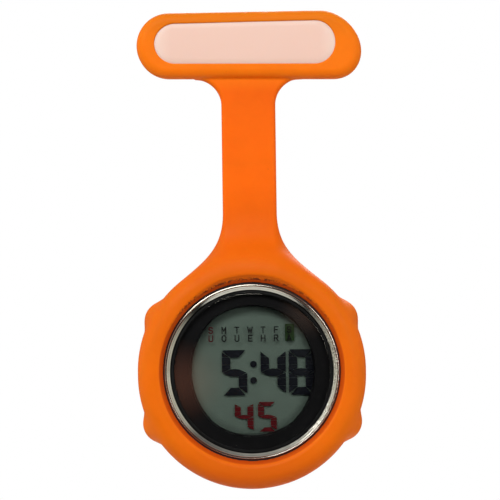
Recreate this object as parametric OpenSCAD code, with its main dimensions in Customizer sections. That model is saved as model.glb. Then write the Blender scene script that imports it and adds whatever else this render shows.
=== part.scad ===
// Silicone fob watch: a digital watch in a soft pocket, hung by a strap from a name bar with a brooch pin.
// Stored hanging. +Z is up, +X runs along the pin, the dial faces -Y and the pin is at the back.
// The origin is the middle of the pin's wire.

/* [Name bar] */
// Width of the bar
bar_w = 41.3; // [34:0.1:50]
// Height of the bar
bar_h = 12.5; // [10:0.1:16]
// Thickness of the bar
bar_t = 5.0; // [4:0.1:7]
// Length of the window in the bar's front
window_w = 33.0; // [26:0.1:38]
// Height of the window
window_h = 7.9; // [5:0.1:9]
// Distance from the pin's wire to the bar's back
cloth_gap = 2.2; // [1.8:0.1:4]

/* [Strap] */
// Width of the strap
strap_w = 9.9; // [7:0.1:14]
// Thickness of the strap
strap_t = 2.6; // [1.8:0.1:3.5]
// Rounding of the strap's long edges
strap_edge = 0.8; // [0.3:0.1:1.2]
// Radius of the hollow corners under the bar
neck_fillet = 4.6; // [2:0.1:6]
// Radius of the hollow corners where the strap spreads into the pocket
flare_fillet = 12.0; // [8:0.1:16]

/* [Watch pocket] */
// Drop from the pin to the watch's axis
watch_drop = 59.4; // [50:0.1:70]
// Outside radius of the pocket
pocket_r = 20.75; // [19:0.05:23]
// How far the pocket's centre sits below the watch's axis
pocket_shift = 0.7; // [0:0.1:1.5]
// Thickness of the pocket
pocket_t = 9.6; // [8:0.1:12]
// Radius of the hole in the pocket's back
back_hole_r = 13.5; // [11:0.1:14]

/* [Buttons] */
// Angle of each button above or below the horizontal
button_angle = 30; // [20:1:45]
// Height of the buttons' axes above the pocket's back
button_h = 4.4; // [4:0.1:5]
// Travel of a button
button_travel = 0.6; // [0.3:0.05:0.7]
// Radius of the dome's root
dome_r = 3.2; // [2.5:0.1:4]
// Distance from the watch's axis to a dome's top
dome_top_r = 22.3; // [21.5:0.1:23.5]

/* [Watch] */
// Outside radius of the case
case_r = 17.0; // [16:0.1:18]
// Inside radius of the case
cavity_r = 14.35; // [13.5:0.05:15]
// Outside radius of the bezel
bezel_r = 15.75; // [15:0.05:16]
// Radius of the crystal
crystal_r = 14.2; // [13:0.05:14.3]
// Half the width of the display window
window_half_w = 11.1; // [9:0.05:12]
// Half the height of the display window
window_half_h = 11.75; // [9:0.05:12]

/* [Display] */
// Width of an hour or minute digit
digit_w = 4.6; // [3:0.1:5]
// Height of an hour or minute digit
digit_h = 8.3; // [6:0.1:9]
// Width of a seconds digit
small_w = 3.4; // [2:0.1:4]
// Height of a seconds digit
small_h = 5.4; // [4:0.1:6]
// Distance between weekday columns
day_pitch = 2.38; // [2:0.01:2.6]
// Height of a weekday letter
letter_h = 1.03; // [0.8:0.01:1.3]

/* [Brooch] */
// Radius of the pin's wire
wire_r = 0.4; // [0.3:0.05:0.5]
// Distance from the middle to the pin's hinge
pivot_x = 13.5; // [11:0.1:15]
// Outside radius of the catch
catch_r = 1.75; // [1.5:0.05:2]

/* [Hidden] */
$fn = 64;
gap = 0.05;
bar_back_y = -cloth_gap;
bar_end = (bar_w - bar_h) / 2;
bar_round = 1.5;
plate_w = 34.4;
plate_h = 7.9;
plate_t = 0.6;
plate_lo = 0.95;
back_window_w = 32.4;
back_window_h = 5.9;
strap_back_y = bar_back_y - 1.0;
neck_z = -bar_h / 2 - neck_fillet;
strap_top_z = neck_z - 0.2;
watch_z = -watch_drop;
pocket_z = watch_z - pocket_shift;
pocket_back_y = -1.0;
flare_x = strap_w / 2 + flare_fillet;
flare_reach = pocket_r + flare_fillet;
flare_z = pocket_z + sqrt(flare_reach * flare_reach - flare_x * flare_x);
strap_end_z = flare_z - 0.4;
strap_len = strap_top_z - strap_end_z;
groove_lo = 1.2;
groove_hi = 8.4;
case_lo = 1.25;
case_hi = 8.3;
back_recess_r = 14.95;
back_recess_h = 2.05;
bore_floor_r = 15.6;
head_bore_r = 1.75;
head_r = 1.45;
head_lo = 16.9;
head_hi = 18.1;
stem_r = 0.5;
stem_tip = 13.9;
segment_lo = 5.14;
segment_hi = 5.19;
pcb_r = 13.6;
pcb_lo = 3.25;
pcb_hi = 3.85;
frame_r = 14.2;
frame_lo = 3.9;
frame_floor = 4.58;
frame_hi = 5.95;
glass_half = 12.4;
rear_glass_half = 11.65;
zebra_y = 12.0;
guide_half = 10.1;
window_shift = 0.15;
window_offset = 1.85;
battery_r = 8.0;
battery_y = -4.2;
screw_x = 11.0;
catch_x = 13.2;
wire_half = 11.0;
slot_w = 1.0;

orange = [0.95, 0.36, 0.05];
steel = [0.72, 0.73, 0.75];
black = [0.05, 0.05, 0.05];
gold = [0.78, 0.62, 0.28];

// ---------- placing ----------

// Lays a shape on the bar: its X stays, its Y becomes up, and its Z runs from the bar's back to the front.
module on_bar() {
    translate([0, bar_back_y, 0])
        rotate([90, 0, 0])
            children();
}

// Lays a shape on the strap's back plane in the same way.
module on_strap() {
    translate([0, strap_back_y, 0])
        rotate([90, 0, 0])
            children();
}

// Lays a shape on the watch's axis: its Z is the height above the pocket's back.
module on_watch() {
    translate([0, pocket_back_y, watch_z])
        rotate([90, 0, 0])
            children();
}

// The same for the pocket, whose centre is a little lower.
module on_pocket() {
    translate([0, pocket_back_y, pocket_z])
        rotate([90, 0, 0])
            children();
}

function button_turn(k) = [button_angle, 180 - button_angle, 180 + button_angle, -button_angle][k - 1];

// Lays a shape on button k's axis: its Z is the distance from the watch's axis.
module on_button(k) {
    on_watch()
        translate([0, 0, button_h])
            rotate([0, 0, button_turn(k)])
                rotate([0, 90, 0])
                    children();
}

// Lays a shape on the pin's wire: its Z runs along +X and its X towards +Y.
module on_wire(x) {
    translate([x, 0, 0])
        rotate([90, 0, 90])
            children();
}

// ---------- shared shapes ----------

// A round-ended slab lying in XY, from z = 0 to t.
module slab(w, h, t) {
    translate([-(w - h) / 2, -h / 2, 0])
        cube([w - h, h, t]);
    for (x = [-(w - h) / 2, (w - h) / 2])
        translate([x, 0, 0])
            cylinder(h = t, r = h / 2);
}

// Half of a section with rounded outer corners: r0 at the bottom, r1 at the top.
module half_section(r, t, r0, r1) {
    square([r - max(r0, r1), t]);
    translate([0, r0])
        square([r, t - r0 - r1]);
    translate([r - r0, r0])
        circle(r = r0);
    translate([r - r1, t - r1])
        circle(r = r1);
    if (r1 > r0)
        square([r - r0, t / 2]);
    if (r0 > r1)
        translate([0, t / 2])
            square([r - r1, t / 2]);
}

// A round-ended slab with rounded edges.
module soft_slab(w, h, t, edge) {
    translate([-(w - h) / 2, 0, 0])
        rotate([90, 0, 90])
            linear_extrude(height = w - h) {
                half_section(h / 2, t, edge, edge);
                mirror([1, 0])
                    half_section(h / 2, t, edge, edge);
            }
    for (x = [-(w - h) / 2, (w - h) / 2])
        translate([x, 0, 0])
            rotate_extrude()
                half_section(h / 2, t, edge, edge);
}

module tube(r_out, r_in, lo, hi) {
    translate([0, 0, lo])
        difference() {
            cylinder(h = hi - lo, r = r_out);
            translate([0, 0, -1])
                cylinder(h = hi - lo + 2, r = r_in);
        }
}

module disc(r, lo, hi) {
    translate([0, 0, lo])
        cylinder(h = hi - lo, r = r);
}

// An eight-sided slab, half wide from its centre to each flat.
module octagon(half, lo, hi) {
    translate([0, 0, lo])
        rotate([0, 0, 22.5])
            cylinder(h = hi - lo, r = half / cos(22.5), $fn = 8);
}

// A box centred in X and Y.
module block(w, d, lo, hi) {
    translate([-w / 2, -d / 2, lo])
        cube([w, d, hi - lo]);
}

// A wire coil from z = 0 to len, as one swept tube.
module coil(r, wire, turns, len) {
    steps = 16;
    sides = 6;
    n = turns * steps;
    rise = len - 2 * wire;
    points = [
        for (i = [0 : n], j = [0 : sides - 1])
            let (a = 360 * i / steps, b = 360 * j / sides, q = r + wire * cos(b))
                [q * cos(a), q * sin(a), wire + rise * i / n + wire * sin(b)]
    ];
    walls = [
        for (i = [0 : n - 1], j = [0 : sides - 1])
            let (a = i * sides + j, b = i * sides + (j + 1) % sides)
                [a, b, b + sides, a + sides]
    ];
    ends = [
        [for (j = [sides - 1 : -1 : 0]) j],
        [for (j = [0 : sides - 1]) n * sides + j]
    ];
    polyhedron(points = points, faces = concat(walls, ends), convexity = 10);
}

// ---------- silicone moulding ----------

module neck_outline() {
    x = strap_w / 2 + neck_fillet;
    difference() {
        translate([-x, neck_z])
            square([2 * x, neck_fillet + 0.8]);
        for (side = [-1, 1])
            translate([side * x, neck_z])
                circle(r = neck_fillet);
    }
    translate([-strap_w / 2, strap_top_z])
        square([strap_w, 0.4]);
}

module t_bar_sleeve() {
    color(orange)
        difference() {
            union() {
                on_bar()
                    soft_slab(bar_w, bar_h, bar_t, bar_round);
                on_strap()
                    linear_extrude(height = strap_t)
                        neck_outline();
            }
            on_bar() {
                translate([0, 0, 3.5])
                    slab(window_w, window_h, 2);
                translate([0, 0, 2.5])
                    slab(window_w + 2.1, window_h + 2.1, 1.05);
                translate([0, 0, plate_lo - 0.1])
                    slab(plate_w + 0.2, plate_h + 0.2, plate_t + 0.2);
                translate([0, 0, -1])
                    slab(back_window_w, back_window_h, 2);
            }
        }
}

// The strap's cross-section, with rounded long edges.
module strap_section() {
    for (side = [0, 1])
        mirror([side, 0])
            half_section(strap_w / 2, strap_t, strap_edge, strap_edge);
}

module strap() {
    color(orange)
        translate([0, strap_back_y, strap_end_z + gap])
            mirror([0, 1, 0])
                linear_extrude(height = strap_len - 2 * gap)
                    strap_section();
}

// The front outline of the part that spreads from the strap into the pocket.
module flare_outline() {
    foot_z = pocket_z + pocket_r * 0.86;
    difference() {
        polygon([
            [-flare_x, strap_end_z],
            [flare_x, strap_end_z],
            [pocket_r * 0.51, foot_z],
            [pocket_r * 0.3, foot_z - 4],
            [-pocket_r * 0.3, foot_z - 4],
            [-pocket_r * 0.51, foot_z]
        ]);
        for (side = [-1, 1])
            translate([side * flare_x, flare_z])
                circle(r = flare_fillet);
    }
}

// The same part from the side: it thickens from the strap to the pocket.
module flare_side() {
    back = strap_back_y;
    front = strap_back_y - strap_t;
    polygon([
        [back, strap_end_z],
        [front, strap_end_z],
        [front - 0.5, strap_end_z - 3.5],
        [-9.0, strap_end_z - 8.5],
        [-9.2, strap_end_z - 16],
        [-1.5, strap_end_z - 16],
        [-1.5, strap_end_z - 8.5],
        [back + 0.4, strap_end_z - 3.5]
    ]);
}

module flare() {
    intersection() {
        translate([0, 5, 0])
            rotate([90, 0, 0])
                linear_extrude(height = 20)
                    flare_outline();
        translate([-30, 0, 0])
            rotate([90, 0, 90])
                linear_extrude(height = 60)
                    flare_side();
    }
}

module watch_pocket() {
    color(orange)
        difference() {
            union() {
                on_pocket()
                    rotate_extrude()
                        half_section(pocket_r, pocket_t, 1.8, 2.5);
                flare();
            }
            on_watch() {
                disc(back_hole_r, -1, 5);
                disc(case_r + gap, groove_lo, groove_hi);
                translate([0, 0, groove_hi - 0.01])
                    cylinder(h = 1.22, r1 = 15.9, r2 = 16.82);
            }
            for (k = [1 : 4])
                on_button(k)
                    disc(dome_r + 0.3, case_r - 1, 26);
        }
}

module button_dome(k) {
    rise = 1.9;
    ball_r = (dome_r * dome_r + rise * rise) / (2 * rise);
    color(orange)
        on_button(k) {
            disc(dome_r, head_hi + 0.2, dome_top_r - rise);
            intersection() {
                translate([0, 0, dome_top_r - ball_r])
                    sphere(r = ball_r);
                disc(dome_r, dome_top_r - rise - 0.3, dome_top_r + 1);
            }
        }
}

// ---------- label and brooch ----------

module label_plate() {
    color([0.96, 0.86, 0.8])
        on_bar() {
            translate([0, 0, 2.55])
                slab(window_w + 1.9, window_h + 1.9, 0.9);
            translate([0, 0, 3.4])
                soft_slab(window_w - 0.2, window_h - 0.2, 1.2, 0.35);
        }
}

// A C-shaped ring round the wire, open towards +Y.
module open_ring(r_out, r_in, lo, hi) {
    difference() {
        tube(r_out, r_in, lo, hi);
        translate([0, -slot_w / 2, lo - 1])
            cube([r_out + 1, slot_w, hi - lo + 2]);
    }
}

module ear(z) {
    translate([-pivot_x, 0, z - 0.25])
        difference() {
            union() {
                cylinder(h = 0.5, r = 1.2);
                translate([-1.2, bar_back_y - 1.3, 0])
                    cube([2.4, -bar_back_y + 1.3, 0.5]);
            }
            translate([0, 0, -1])
                cylinder(h = 3, r = 0.47);
        }
}

module brooch_bar() {
    color(steel) {
        on_bar()
            translate([0, 0, plate_lo])
                slab(plate_w, plate_h, plate_t);
        ear(1.0);
        ear(-1.0);
        difference() {
            union() {
                on_wire(catch_x) {
                    open_ring(catch_r, 0.62, -1.4, -0.9);
                    open_ring(catch_r, 0.62, 0.9, 1.4);
                    difference() {
                        tube(catch_r, 1.38, -1.4, 1.4);
                        translate([0, 0, -2])
                            linear_extrude(height = 4)
                                polygon([[0, 0], [1.2, -5], [8, -5], [8, 5], [-0.6, 5]]);
                    }
                }
                translate([catch_x - 1.4, bar_back_y - 1.3, -0.9])
                    cube([2.8, -bar_back_y - 0.2, 1.8]);
            }
            on_wire(catch_x)
                disc(1.38, -0.9, 0.9);
            on_wire(catch_x)
                disc(0.62, -3, 3);
        }
    }
}

module brooch_pin() {
    wire_end = catch_x + 1.7;
    color(steel)
        difference() {
            union() {
                translate([-pivot_x, 0, -0.65])
                    cylinder(h = 1.3, r = 1.05);
                on_wire(-pivot_x)
                    disc(wire_r + 0.2, 0.8, pivot_x - wire_half);
                on_wire(0)
                    disc(wire_r, -wire_half, wire_half);
                on_wire(wire_half)
                    cylinder(h = wire_end - 1.2 - wire_half, r1 = wire_r - 0.01, r2 = wire_r - 0.05);
                on_wire(wire_end - 1.2)
                    cylinder(h = 1.2, r1 = wire_r - 0.05, r2 = 0.06);
            }
            translate([-pivot_x, 0, -2])
                cylinder(h = 4, r = 0.5);
        }
}

module pin_rivet() {
    color(steel)
        translate([-pivot_x, 0, 0]) {
            translate([0, 0, -1.4])
                cylinder(h = 2.8, r = 0.45);
            for (side = [0, 1])
                mirror([0, 0, side])
                    translate([0, 0, 1.26])
                        cylinder(h = 0.3, r1 = 0.8, r2 = 0.6);
        }
}

module catch_lock() {
    color(gold)
        on_wire(catch_x)
            difference() {
                union() {
                    disc(1.3, -0.85, 0.85);
                    rotate([0, 0, -58])
                        translate([0.9, -0.3, -0.6])
                            cube([2.0, 0.6, 1.2]);
                }
                disc(0.62, -2, 2);
                translate([0, -slot_w / 2, -2])
                    cube([3, slot_w, 4]);
            }
}

// ---------- case ----------

module case_body() {
    color(black)
        difference() {
            on_watch()
                rotate_extrude()
                    polygon([
                        [back_recess_r, case_lo],
                        [case_r - 0.5, case_lo],
                        [case_r, case_lo + 0.5],
                        [case_r, case_hi - 0.6],
                        [case_r - 0.6, case_hi],
                        [bezel_r + gap, case_hi],
                        [bezel_r + gap, 7.25],
                        [cavity_r, 7.25],
                        [cavity_r, back_recess_h],
                        [back_recess_r, back_recess_h]
                    ]);
            for (k = [1 : 4])
                on_button(k) {
                    disc(stem_r + 0.06, 13, bore_floor_r + 1);
                    disc(0.95, 15.2, bore_floor_r + 1);
                    disc(head_bore_r, bore_floor_r, 20);
                }
        }
}

module bezel() {
    color([0.85, 0.86, 0.88])
        on_watch()
            rotate_extrude()
                polygon([
                    [14.65, 7.3],
                    [bezel_r, 7.3],
                    [bezel_r, 8.5],
                    [bezel_r - 0.3, 8.85],
                    [15.2, 8.85],
                    [15.08, 8.68],
                    [14.98, 8.68],
                    [14.9, 9.0],
                    [14.75, 9.0],
                    [14.65, 8.85]
                ]);
}

module crystal() {
    color([0.85, 0.9, 0.92, 0.3])
        on_watch()
            rotate_extrude()
                polygon([[0, 7.35], [crystal_r, 7.35], [crystal_r, 8.6], [crystal_r - 0.2, 8.8], [0, 8.8]]);
}

module crystal_gasket() {
    color(black)
        on_watch()
            tube(14.6, crystal_r + gap, 7.35, 8.5);
}

module window_cone(x, r) {
    translate([x, 0, 5.9])
        cylinder(h = 1.4, r1 = r - 0.02, r2 = r + 0.3);
}

// The black surround. Three overlapping cones cut its slightly narrow oval window, a little off centre.
module dial_ring() {
    color(black)
        on_watch()
            difference() {
                disc(cavity_r - gap, 6.0, 7.25);
                translate([window_shift, 0, 0])
                    intersection() {
                        window_cone(0, window_half_h);
                        window_cone(-window_offset, window_half_w + window_offset);
                        window_cone(window_offset, window_half_w + window_offset);
                    }
            }
}

module caseback() {
    color(steel)
        on_watch()
            difference() {
                rotate_extrude()
                    polygon([
                        [0, 0.5], [13.1, 0.5], [13.3, 0.7], [13.3, 1.3], [14.85, 1.3],
                        [14.85, 1.75], [12.9, 1.75], [12.9, 1.0], [0, 1.0]
                    ]);
                rotate([0, 0, -60])
                    translate([14.3, -1.2, 1.2])
                        cube([2, 2.4, 0.25]);
            }
}

module caseback_gasket() {
    color(black)
        on_watch()
            tube(14.9, 14.4, 1.78, 2.02);
}

// ---------- push buttons ----------

module pusher(k) {
    color(steel)
        on_button(k) {
            disc(stem_r, stem_tip, head_lo + 0.1);
            disc(head_r, head_lo, head_hi - 0.2);
            translate([0, 0, head_hi - 0.2])
                cylinder(h = 0.2, r1 = head_r, r2 = head_r - 0.2);
        }
}

module pusher_spring(k) {
    color(steel)
        on_button(k)
            translate([0, 0, bore_floor_r + 0.02])
                coil(1.2, 0.09, 2.5, head_lo - bore_floor_r - 0.04);
}

module pusher_clip(k) {
    color(steel)
        on_button(k)
            difference() {
                tube(1.0, stem_r + 0.01, 13.98, 14.18);
                translate([0, -0.35, 13])
                    cube([2, 0.7, 2]);
            }
}

module pusher_seals() {
    color(black)
        for (k = [1 : 4])
            on_button(k)
                translate([0, 0, 15.4])
                    rotate_extrude()
                        translate([0.75, 0])
                            circle(r = 0.17);
}

// ---------- movement ----------

module module_frame() {
    color([0.9, 0.9, 0.88])
        on_watch()
            difference() {
                disc(frame_r, frame_lo, frame_hi);
                octagon(glass_half + gap, frame_floor, frame_hi + 1);
                octagon(guide_half + 0.15, frame_lo - 1, frame_hi);
                for (side = [-1, 1]) {
                    translate([0, side * zebra_y, 0])
                        block(10.8, 0.7, frame_lo - 1, frame_hi);
                    translate([side * screw_x, battery_y, 0])
                        disc(0.45, frame_lo - 1, frame_floor);
                }
                translate([11.0, 0, 0])
                    block(1.6, 1.9, frame_lo - 1, frame_hi);
                for (k = [1 : 4])
                    rotate([0, 0, button_turn(k)])
                        translate([14.0, 0, 0])
                            block(2.0, 3.2, frame_lo - 1, frame_hi + 1);
            }
}

module lcd_glass_front() {
    color([0.6, 0.68, 0.62, 0.4])
        on_watch()
            octagon(glass_half, 5.2, 5.68);
}

module lcd_glass_rear() {
    color([0.6, 0.68, 0.62, 0.4])
        on_watch()
            intersection() {
                octagon(glass_half, 4.65, 5.13);
                block(30, 2 * rear_glass_half, 4, 6);
            }
}

module lcd_polarizer_front() {
    color([0.4, 0.44, 0.4, 0.4])
        on_watch()
            octagon(glass_half - 0.15, 5.7, 5.82);
}

module lcd_reflector() {
    color([0.34, 0.38, 0.34])
        on_watch()
            intersection() {
                octagon(glass_half - 0.15, 4.59, 4.64);
                block(30, 2 * rear_glass_half - 0.3, 4, 6);
            }
}

// One seven-segment digit from its lower left corner. Each letter a to g in lit is a dark segment.
module digit(w, h, across, down, lit) {
    m = h / 2;
    s = 0.05;
    difference() {
        union() {
            if (search("a", lit))
                polygon([[0.3, h], [w - 0.3, h], [w - across - s, h - down], [across + s, h - down], [0.12, h - 0.2]]);
            if (search("b", lit))
                polygon([[w, h - 0.35], [w - across, h - down - 0.12], [w - across, m + down / 2], [w, m + 0.08]]);
            if (search("c", lit))
                polygon([[w, 0.35], [w - across, down + 0.12], [w - across, m - down / 2], [w, m - 0.08]]);
            if (search("d", lit))
                polygon([[0.3, 0], [w - 0.3, 0], [w - across - s, down], [across + s, down]]);
            if (search("e", lit))
                polygon([[0, 0.35], [across, down + 0.12], [across, m - down / 2], [0, m - 0.08]]);
            if (search("f", lit))
                polygon([[0, h - 0.35], [across, h - down - 0.12], [across, m + down / 2], [0, m + 0.08]]);
            if (search("g", lit))
                polygon([
                    [0.12, m], [across - 0.1, m + down / 2 - 0.1], [w / 2, m + down / 2],
                    [w - across + 0.1, m + down / 2 - 0.1], [w - 0.12, m],
                    [w - across + 0.1, m - down / 2 + 0.1], [w / 2, m - down / 2],
                    [across - 0.1, m - down / 2 + 0.1]
                ]);
        }
        for (y = [0.2, 0.37, 0.67, 0.84])
            translate([-1, y * h])
                square([w + 2, 0.06]);
    }
}

module time_segments() {
    color([0.05, 0.06, 0.12])
        on_watch()
            translate([0, 0, segment_lo])
                linear_extrude(height = segment_hi - segment_lo) {
                    translate([-5.47, -4.55])
                        digit(digit_w, digit_h, 1.55, 1.42, "afgcd");
                    for (y = [-1.81, 1.15])
                        translate([0.29, y])
                            circle(r = 0.6);
                    translate([1.6, -4.55])
                        digit(digit_w, digit_h, 1.55, 1.42, "fgbc");
                    intersection() {
                        translate([6.75, -4.55])
                            digit(digit_w, digit_h, 1.55, 1.42, "abcdefg");
                        circle(r = 11.9);
                    }
                }
}

module seconds_segments() {
    color([0.4, 0.04, 0.06])
        on_watch()
            translate([0, 0, segment_lo])
                linear_extrude(height = segment_hi - segment_lo) {
                    translate([-3.22, -11.19])
                        digit(small_w, small_h, 1.1, 0.75, "fgbc");
                    translate([1.02, -11.19])
                        digit(small_w, small_h, 1.1, 0.75, "afgcd");
                }
}

// A pen stroke between two points on a letter's grid, one unit wide and one high.
module stroke(a, b) {
    w = 0.68;
    pen_w = 0.2;
    d = [(b[0] - a[0]) * w, (b[1] - a[1]) * letter_h];
    translate([(a[0] - 0.5) * w, a[1] * letter_h])
        rotate([0, 0, atan2(d[1], d[0])])
            translate([-pen_w / 2, -pen_w / 2])
                square([norm(d) + pen_w, pen_w]);
}

module pen(points) {
    for (i = [0 : len(points) - 2])
        stroke(points[i], points[i + 1]);
}

module letter(name) {
    if (name == "S")
        pen([[1, 0.85], [0.7, 1], [0.2, 1], [0, 0.75], [0.2, 0.55], [0.8, 0.45], [1, 0.25], [0.8, 0], [0.3, 0], [0, 0.15]]);
    if (name == "M")
        pen([[0, 0], [0, 1], [0.5, 0.35], [1, 1], [1, 0]]);
    if (name == "T") {
        pen([[0, 1], [1, 1]]);
        pen([[0.5, 1], [0.5, 0]]);
    }
    if (name == "W")
        pen([[-0.1, 1], [0.22, 0], [0.5, 0.8], [0.78, 0], [1.1, 1]]);
    if (name == "F" || name == "E") {
        pen([[1, 1], [0.1, 1], [0.1, 0]]);
        pen([[0.1, 0.52], [0.85, 0.52]]);
    }
    if (name == "E")
        pen([[0.1, 0], [1, 0]]);
    if (name == "U")
        pen([[0, 1], [0, 0.2], [0.25, 0], [0.75, 0], [1, 0.2], [1, 1]]);
    if (name == "O")
        pen([[0.3, 0], [0, 0.3], [0, 0.7], [0.3, 1], [0.7, 1], [1, 0.7], [1, 0.3], [0.7, 0], [0.3, 0]]);
    if (name == "H") {
        pen([[0, 0], [0, 1]]);
        pen([[1, 0], [1, 1]]);
        pen([[0, 0.5], [1, 0.5]]);
    }
    if (name == "R") {
        pen([[0, 0], [0, 1], [0.75, 1], [1, 0.8], [0.75, 0.5], [0, 0.5]]);
        pen([[0.5, 0.5], [1, 0]]);
    }
    if (name == "A") {
        pen([[0, 0], [0.5, 1], [1, 0]]);
        pen([[0.2, 0.35], [0.8, 0.35]]);
    }
}

module weekday_print() {
    color([0.12, 0.13, 0.12])
        on_watch()
            translate([0, 0, 5.84])
                linear_extrude(height = 0.03)
                    for (i = [0 : 6])
                        translate([-7.4 + i * day_pitch, 0]) {
                            translate([0, 6.9])
                                letter("SMTWTFS"[i]);
                            translate([0, 5.39])
                                letter("UOUEHRA"[i]);
                        }
}

module weekday_marker() {
    color([0.06, 0.16, 0.06])
        on_watch()
            translate([6.98, 6.87, 0])
                block(1.67, 3.1, segment_lo, segment_hi);
}

module zebra_connectors() {
    color([0.85, 0.45, 0.5])
        on_watch()
            for (side = [-1, 1])
                translate([0, side * zebra_y, 0])
                    block(10.4, 0.5, 3.87, 5.18);
}

module circuit_board() {
    color([0.1, 0.35, 0.15])
        on_watch()
            difference() {
                disc(pcb_r, pcb_lo, pcb_hi);
                for (k = [1 : 4])
                    rotate([0, 0, button_turn(k)])
                        translate([13.8, 0, 0])
                            block(2.0, 3.2, pcb_lo - 1, pcb_hi + 1);
                for (side = [-1, 1])
                    translate([side * screw_x, battery_y, 0])
                        disc(0.45, pcb_lo - 1, pcb_hi + 1);
            }
}

module chip_blob() {
    color(black)
        on_watch()
            translate([-4.6, 8.0, 0]) {
                disc(2.5, 2.75, pcb_lo - 0.01);
                translate([0, 0, 2.4])
                    cylinder(h = 0.4, r1 = 1.6, r2 = 2.5);
            }
}

module quartz_crystal() {
    color(steel)
        on_watch()
            translate([3.0, 8.4, 2.2])
                rotate([0, 90, 0])
                    cylinder(h = 5.6, r = 0.95);
}

module capacitors() {
    color([0.55, 0.42, 0.3])
        on_watch() {
            translate([-9.6, 4.6, 0])
                block(0.8, 1.6, 2.45, pcb_lo - 0.01);
            translate([9.8, 4.0, 0])
                block(0.8, 1.6, 2.45, pcb_lo - 0.01);
            translate([0, 11.4, 0])
                block(1.6, 0.8, 2.45, pcb_lo - 0.01);
        }
}

module button_contacts() {
    color(gold)
        on_watch()
            for (k = [1 : 4])
                rotate([0, 0, button_turn(k)]) {
                    translate([13.14, 0, 0])
                        block(0.12, 2.2, 3.13, 4.55);
                    translate([12.55, 0, 0])
                        block(1.3, 2.2, 3.13, 3.23);
                }
}

module battery() {
    color(steel)
        on_watch()
            translate([0, battery_y, 0]) {
                disc(battery_r, 1.55, 2.9);
                disc(battery_r - 0.7, 2.8, 3.14);
            }
}

module battery_clip() {
    color(steel)
        on_watch()
            translate([0, battery_y, 0])
                difference() {
                    union() {
                        block(18.0, 3.6, 1.36, 1.51);
                        for (side = [-1, 1]) {
                            translate([side * 8.92, 0, 0])
                                block(0.16, 1.8, 1.36, 1.85);
                            translate([side * 10.3, 0, 0])
                                block(2.8, 1.8, 1.70, 1.85);
                        }
                    }
                    for (side = [-1, 1])
                        translate([side * screw_x, 0, 0])
                            disc(0.45, 1, 3);
                }
}

module battery_contact() {
    color(gold)
        on_watch()
            translate([0, battery_y, 0])
                block(5.0, 2.0, 3.16, 3.24);
}

module battery_frame() {
    color([0.9, 0.9, 0.88])
        on_watch()
            difference() {
                disc(pcb_r, 1.85, 3.1);
                translate([0, battery_y, 0])
                    disc(battery_r + 0.15, 1, 4);
                translate([-4.6, 8.0, 0])
                    disc(2.8, 1, 4);
                translate([5.8, 8.4, 0])
                    block(6.2, 2.4, 1, 4);
                translate([-9.6, 4.6, 0])
                    block(1.4, 2.2, 1, 4);
                translate([9.8, 4.0, 0])
                    block(1.4, 2.2, 1, 4);
                translate([0, 11.4, 0])
                    block(2.2, 1.4, 1, 4);
                translate([0, 6.6, 0])
                    disc(1.2, 1, 4);
                for (side = [-1, 1])
                    translate([side * screw_x, battery_y, 0])
                        disc(0.45, 1, 4);
                for (k = [1 : 4])
                    rotate([0, 0, button_turn(k)])
                        translate([14.0, 0, 0])
                            block(2.0, 3.2, 1, 4);
            }
}

module module_screws() {
    color(steel)
        on_watch()
            for (side = [-1, 1])
                translate([side * screw_x, battery_y, 0])
                    difference() {
                        union() {
                            disc(0.85, 1.4, 1.69);
                            disc(0.4, 1.6, 4.4);
                        }
                        block(2, 0.22, 1.2, 1.52);
                    }
}

module light_guide() {
    color([0.9, 0.95, 0.95, 0.5])
        on_watch()
            octagon(guide_half, 3.95, 4.56);
}

module backlight_led() {
    color([0.95, 0.9, 0.6])
        on_watch()
            translate([11.0, 0, 0])
                block(1.2, 1.6, 3.87, 4.45);
}

module buzzer_disc() {
    color(gold)
        on_watch()
            translate([0, 5.5, 0]) {
                disc(6.2, 1.02, 1.12);
                disc(4.4, 1.1, 1.22);
            }
}

module buzzer_spring() {
    color(gold)
        on_watch()
            translate([0, 6.6, 1.24])
                coil(0.7, 0.1, 4, 1.98);
}

// ---------- drawing ----------

t_bar_sleeve();
strap();
watch_pocket();
button_dome(1);  // button_dome_1
button_dome(2);  // button_dome_2
button_dome(3);  // button_dome_3
button_dome(4);  // button_dome_4
label_plate();
brooch_bar();
brooch_pin();
pin_rivet();
catch_lock();
case_body();
bezel();
crystal();
crystal_gasket();
dial_ring();
caseback();
caseback_gasket();
pusher(1);  // pusher_1
pusher(2);  // pusher_2
pusher(3);  // pusher_3
pusher(4);  // pusher_4
pusher_spring(1);  // pusher_spring_1
pusher_spring(2);  // pusher_spring_2
pusher_spring(3);  // pusher_spring_3
pusher_spring(4);  // pusher_spring_4
pusher_clip(1);  // pusher_clip_1
pusher_clip(2);  // pusher_clip_2
pusher_clip(3);  // pusher_clip_3
pusher_clip(4);  // pusher_clip_4
pusher_seals();
module_frame();
lcd_glass_front();
lcd_glass_rear();
lcd_polarizer_front();
lcd_reflector();
time_segments();
seconds_segments();
weekday_print();
weekday_marker();
zebra_connectors();
circuit_board();
chip_blob();
quartz_crystal();
capacitors();
button_contacts();
battery();
battery_clip();
battery_contact();
battery_frame();
module_screws();
light_guide();
backlight_led();
buzzer_disc();
buzzer_spring();
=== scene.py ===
"""Looks of a silicone fob watch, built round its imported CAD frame."""
import math

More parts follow.
